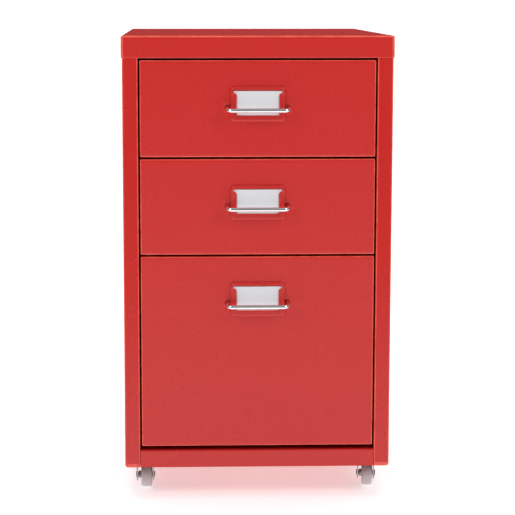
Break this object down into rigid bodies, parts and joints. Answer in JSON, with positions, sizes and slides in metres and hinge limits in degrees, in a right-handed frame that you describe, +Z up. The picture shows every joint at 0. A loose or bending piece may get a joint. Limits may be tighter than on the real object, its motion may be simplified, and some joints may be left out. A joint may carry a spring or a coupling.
{
  "type": "metal filing cabinet",
  "caption": "Narrow sheet-steel drawer pedestal on swivel castors, with sliding drawers, wire handles and label holders.",
  "frame": {"origin": "on the floor, under the middle of the cabinet's overall box (handles included)", "axes": "+Z up, -Y out of the drawer fronts, +X to the right as seen from the front"},
  "size_m": [0.28, 0.4278, 0.485],
  "materials": {
    "red_enamel": "satin",
    "bright_chrome": "polished",
    "zinc_steel": "satin",
    "grey_plastic": "satin",
    "white_paper": "matte",
    "white_nylon": "satin",
    "black_rubber": "matte"
  },
  "bodies": {
    "cabinet": {"top_panel": "red_enamel", "side_panel_left": "red_enamel", "back_panel": "red_enamel", "base_panel": "red_enamel", "castor_rails": "red_enamel", "panel_screws": "zinc_steel", "drawer_bumpers": "black_rubber", "castor_stems": "zinc_steel", "castor_nuts": "zinc_steel", "side_panel_right": "red_enamel", "top_runner_left": "red_enamel", "top_runner_right": "red_enamel", "middle_runner_left": "red_enamel", "middle_runner_right": "red_enamel", "bottom_runner_left": "red_enamel", "bottom_runner_right": "red_enamel"},
    "top_drawer": {"top_rail_left": "red_enamel", "top_rail_right": "red_enamel", "top_glides": "white_nylon", "top_front": "red_enamel", "top_tray": "red_enamel", "top_front_rivets": "zinc_steel", "top_label_holder": "red_enamel", "top_label_card": "white_paper", "top_handle": "bright_chrome", "top_handle_nuts": "zinc_steel"},
    "middle_drawer": {"middle_rail_left": "red_enamel", "middle_rail_right": "red_enamel", "middle_glides": "white_nylon", "middle_front": "red_enamel", "middle_tray": "red_enamel", "middle_front_rivets": "zinc_steel", "middle_label_holder": "red_enamel", "middle_label_card": "white_paper", "middle_handle": "bright_chrome", "middle_handle_nuts": "zinc_steel"},
    "bottom_drawer": {"bottom_rail_left": "red_enamel", "bottom_rail_right": "red_enamel", "bottom_glides": "white_nylon", "bottom_front": "red_enamel", "bottom_tray": "red_enamel", "bottom_front_rivets": "zinc_steel", "bottom_label_holder": "red_enamel", "bottom_label_card": "white_paper", "bottom_handle": "bright_chrome", "bottom_handle_nuts": "zinc_steel"},
    "castor_front_left": {"castor_fork_front_left": "zinc_steel", "castor_axle_front_left": "zinc_steel"},
    "wheel_front_left": {"castor_wheel_front_left": "grey_plastic"},
    "castor_front_right": {"castor_fork_front_right": "zinc_steel", "castor_axle_front_right": "zinc_steel"},
    "wheel_front_right": {"castor_wheel_front_right": "grey_plastic"},
    "castor_rear_left": {"castor_fork_rear_left": "zinc_steel", "castor_axle_rear_left": "zinc_steel"},
    "wheel_rear_left": {"castor_wheel_rear_left": "grey_plastic"},
    "castor_rear_right": {"castor_fork_rear_right": "zinc_steel", "castor_axle_rear_right": "zinc_steel"},
    "wheel_rear_right": {"castor_wheel_rear_right": "grey_plastic"}
  },
  "joints": [
    {"name": "top_drawer_slide", "type": "slide", "parent": "cabinet", "child": "top_drawer", "axis": [0, -1, 0], "range_m": [0, 0.2986]},
    {"name": "middle_drawer_slide", "type": "slide", "parent": "cabinet", "child": "middle_drawer", "axis": [0, -1, 0], "range_m": [0, 0.2986]},
    {"name": "bottom_drawer_slide", "type": "slide", "parent": "cabinet", "child": "bottom_drawer", "axis": [0, -1, 0], "range_m": [0, 0.2986]},
    {"name": "castor_front_left_swivel", "type": "hinge", "parent": "cabinet", "child": "castor_front_left", "pos_m": [-0.1185, -0.15895, 0.0308], "axis": [0, 0, 1], "continuous": true},
    {"name": "wheel_front_left_spin", "type": "hinge", "parent": "castor_front_left", "child": "wheel_front_left", "pos_m": [-0.1185, -0.14895, 0.013], "axis": [1, 0, 0], "continuous": true},
    {"name": "castor_front_right_swivel", "type": "hinge", "parent": "cabinet", "child": "castor_front_right", "pos_m": [0.1185, -0.15895, 0.0308], "axis": [0, 0, 1], "continuous": true},
    {"name": "wheel_front_right_spin", "type": "hinge", "parent": "castor_front_right", "child": "wheel_front_right", "pos_m": [0.11972, -0.14902, 0.013], "axis": [0.9925, -0.1219, 0], "continuous": true},
    {"name": "castor_rear_left_swivel", "type": "hinge", "parent": "cabinet", "child": "castor_rear_left", "pos_m": [-0.1185, 0.17505, 0.0308], "axis": [0, 0, 1], "continuous": true},
    {"name": "wheel_rear_left_spin", "type": "hinge", "parent": "castor_rear_left", "child": "wheel_rear_left", "pos_m": [-0.1185, 0.18505, 0.013], "axis": [1, 0, 0], "continuous": true},
    {"name": "castor_rear_right_swivel", "type": "hinge", "parent": "cabinet", "child": "castor_rear_right", "pos_m": [0.1185, 0.17505, 0.0308], "axis": [0, 0, 1], "continuous": true},
    {"name": "wheel_rear_right_spin", "type": "hinge", "parent": "castor_rear_right", "child": "wheel_rear_right", "pos_m": [0.1185, 0.18505, 0.013], "axis": [1, 0, 0], "continuous": true}
  ]
}
